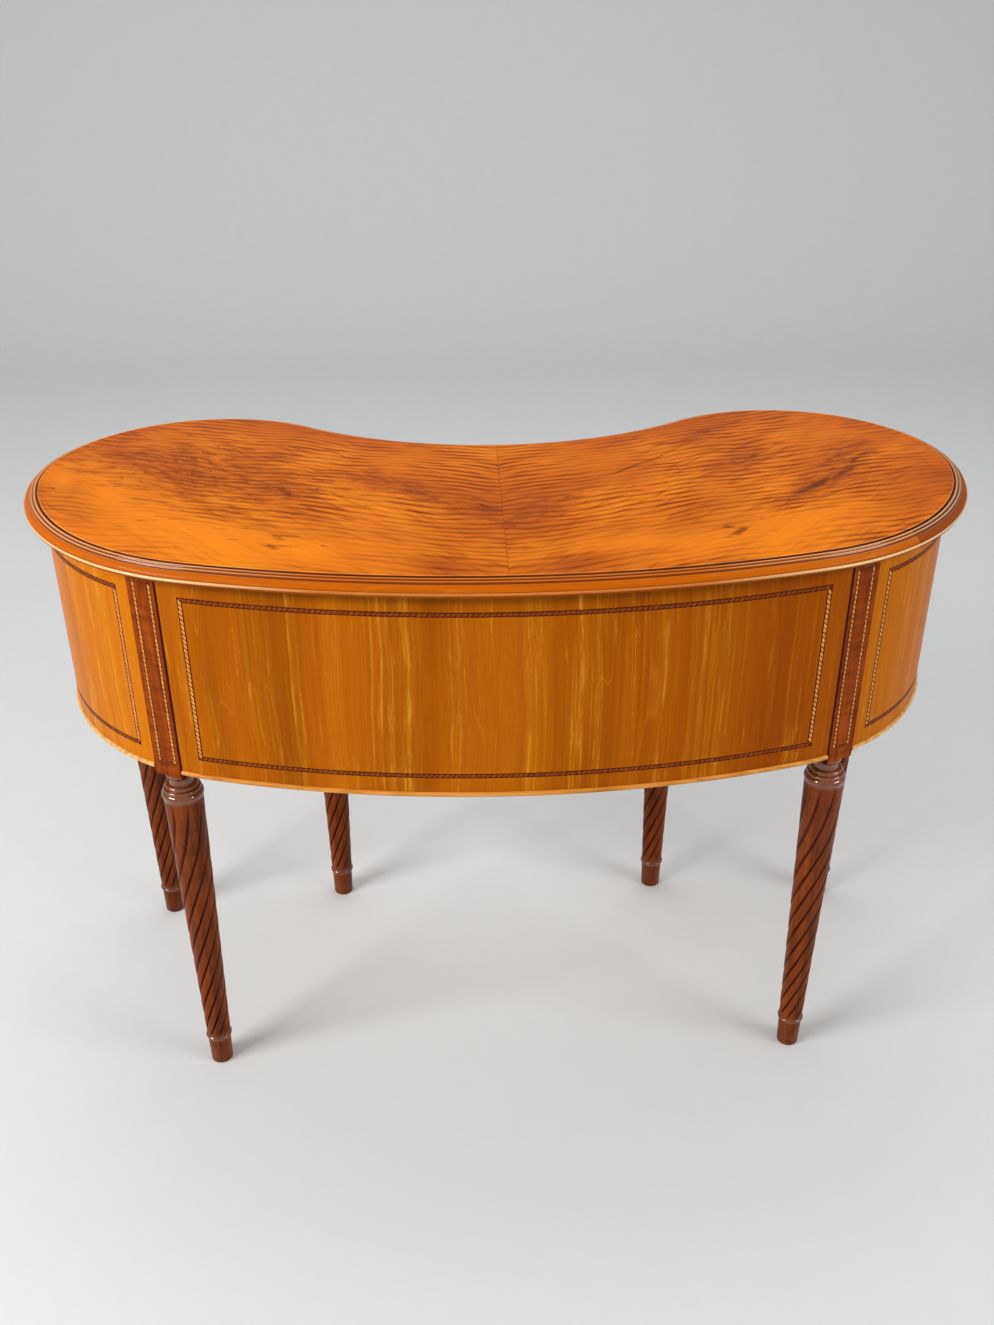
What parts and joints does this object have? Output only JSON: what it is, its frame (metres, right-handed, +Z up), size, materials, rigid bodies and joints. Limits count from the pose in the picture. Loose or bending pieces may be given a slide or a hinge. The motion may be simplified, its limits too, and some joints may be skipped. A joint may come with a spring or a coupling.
{
  "type": "writing desk",
  "caption": "Kidney-shaped satinwood writing desk on turned spiral-fluted legs, with a kneehole and bow-fronted drawers on its hollow side.",
  "frame": {"origin": "on the floor, under the middle of the desk", "axes": "+Z up; +X to the right seen from the convex side in the picture; +Y towards the person who sits at the kneehole"},
  "size_m": [1.15, 0.54, 0.76],
  "materials": {
    "satinwood_top": "flame-figured satinwood veneer, polished",
    "satinwood_moulding": "satinwood moulding, polished",
    "satinwood_panel": "straight-grained satinwood veneer, polished",
    "satinwood_drawer": "satinwood veneer on mahogany, polished",
    "mahogany": "red-brown mahogany, polished",
    "carcass_wood": "plain sawn carcass wood",
    "drawer_lining": "plain planed oak",
    "boxwood": "pale boxwood, polished",
    "stringing": "chequer stringing of light and dark wood",
    "brass": "aged polished brass",
    "steel": "plain steel screws"
  },
  "bodies": {
    "case": {"top_board": "carcass_wood", "top_veneer_left": "satinwood_top", "top_veneer_right": "satinwood_top", "edge_moulding_back": "satinwood_moulding", "edge_moulding_left": "satinwood_moulding", "edge_moulding_right": "satinwood_moulding", "edge_moulding_knee": "satinwood_moulding", "back_panel": "satinwood_panel", "end_panel_left": "satinwood_panel", "end_panel_right": "satinwood_panel", "knee_panel_left": "mahogany", "knee_panel_right": "mahogany", "bottom_board_left": "carcass_wood", "bottom_board_right": "carcass_wood", "drawer_rail_left": "mahogany", "drawer_rail_right": "mahogany", "knee_rail": "mahogany", "top_rails": "mahogany", "dust_board_left": "carcass_wood", "dust_board_right": "carcass_wood", "knee_board": "carcass_wood", "drawer_guides": "carcass_wood", "kickers": "carcass_wood", "glue_blocks": "carcass_wood", "top_screws": "steel", "stringing_back": "stringing", "stringing_end_left": "stringing", "stringing_end_right": "stringing", "stringing_posts": "stringing", "bottom_bead_back": "boxwood", "bottom_bead_end_left": "boxwood", "bottom_bead_end_right": "boxwood", "bottom_beads_pedestal": "boxwood", "back_leg_left": "mahogany", "back_leg_right": "mahogany", "end_leg_left": "mahogany", "end_leg_right": "mahogany", "knee_leg_left": "mahogany", "knee_leg_right": "mahogany"},
    "lower_drawer_right": {"lower_drawer_front_right": "satinwood_drawer", "lower_drawer_box_right": "drawer_lining", "lower_drawer_fittings_right": "brass"},
    "lower_drawer_bail_right": {"lower_drawer_bail_right": "brass"},
    "lower_drawer_left": {"lower_drawer_front_left": "satinwood_drawer", "lower_drawer_box_left": "drawer_lining", "lower_drawer_fittings_left": "brass"},
    "lower_drawer_bail_left": {"lower_drawer_bail_left": "brass"},
    "upper_drawer_right": {"upper_drawer_front_right": "satinwood_drawer", "upper_drawer_box_right": "drawer_lining", "upper_drawer_fittings_right": "brass"},
    "upper_drawer_bail_right": {"upper_drawer_bail_right": "brass"},
    "upper_drawer_left": {"upper_drawer_front_left": "satinwood_drawer", "upper_drawer_box_left": "drawer_lining", "upper_drawer_fittings_left": "brass"},
    "upper_drawer_bail_left": {"upper_drawer_bail_left": "brass"},
    "knee_drawer": {"knee_drawer_front": "satinwood_drawer", "knee_drawer_box": "drawer_lining", "knee_drawer_fittings": "brass"},
    "knee_drawer_bail_left": {"knee_drawer_bail_left": "brass"},
    "knee_drawer_bail_right": {"knee_drawer_bail_right": "brass"}
  },
  "joints": [
    {"name": "lower_drawer_right_slide", "type": "slide", "parent": "case", "child": "lower_drawer_right", "axis": [0, 1, 0], "range_m": [0, 0.17]},
    {"name": "lower_drawer_bail_right_hinge", "type": "hinge", "parent": "lower_drawer_right", "child": "lower_drawer_bail_right", "pos_m": [0.37689, 0.25564, 0.54345], "axis": [0.9982, -0.0607, 0], "range_deg": [0, 95]},
    {"name": "lower_drawer_left_slide", "type": "slide", "parent": "case", "child": "lower_drawer_left", "axis": [0, 1, 0], "range_m": [0, 0.17]},
    {"name": "lower_drawer_bail_left_hinge", "type": "hinge", "parent": "lower_drawer_left", "child": "lower_drawer_bail_left", "pos_m": [-0.37689, 0.25564, 0.54345], "axis": [0.9982, 0.0607, 0], "range_deg": [0, 95]},
    {"name": "upper_drawer_right_slide", "type": "slide", "parent": "case", "child": "upper_drawer_right", "axis": [0, 1, 0], "range_m": [0, 0.17]},
    {"name": "upper_drawer_bail_right_hinge", "type": "hinge", "parent": "upper_drawer_right", "child": "upper_drawer_bail_right", "pos_m": [0.37689, 0.25564, 0.66945], "axis": [0.9982, -0.0607, 0], "range_deg": [0, 95]},
    {"name": "upper_drawer_left_slide", "type": "slide", "parent": "case", "child": "upper_drawer_left", "axis": [0, 1, 0], "range_m": [0, 0.17]},
    {"name": "upper_drawer_bail_left_hinge", "type": "hinge", "parent": "upper_drawer_left", "child": "upper_drawer_bail_left", "pos_m": [-0.37689, 0.25564, 0.66945], "axis": [0.9982, 0.0607, 0], "range_deg": [0, 95]},
    {"name": "knee_drawer_slide", "type": "slide", "parent": "case", "child": "knee_drawer", "axis": [0, 1, 0], "range_m": [0, 0.25]},
    {"name": "knee_drawer_bail_left_hinge", "type": "hinge", "parent": "knee_drawer", "child": "knee_drawer_bail_left", "pos_m": [-0.11958, 0.15347, 0.66945], "axis": [0.9585, -0.2852, 0], "range_deg": [0, 95]},
    {"name": "knee_drawer_bail_right_hinge", "type": "hinge", "parent": "knee_drawer", "child": "knee_drawer_bail_right", "pos_m": [0.11958, 0.15347, 0.66945], "axis": [0.9585, 0.2852, 0], "range_deg": [0, 95]}
  ]
}
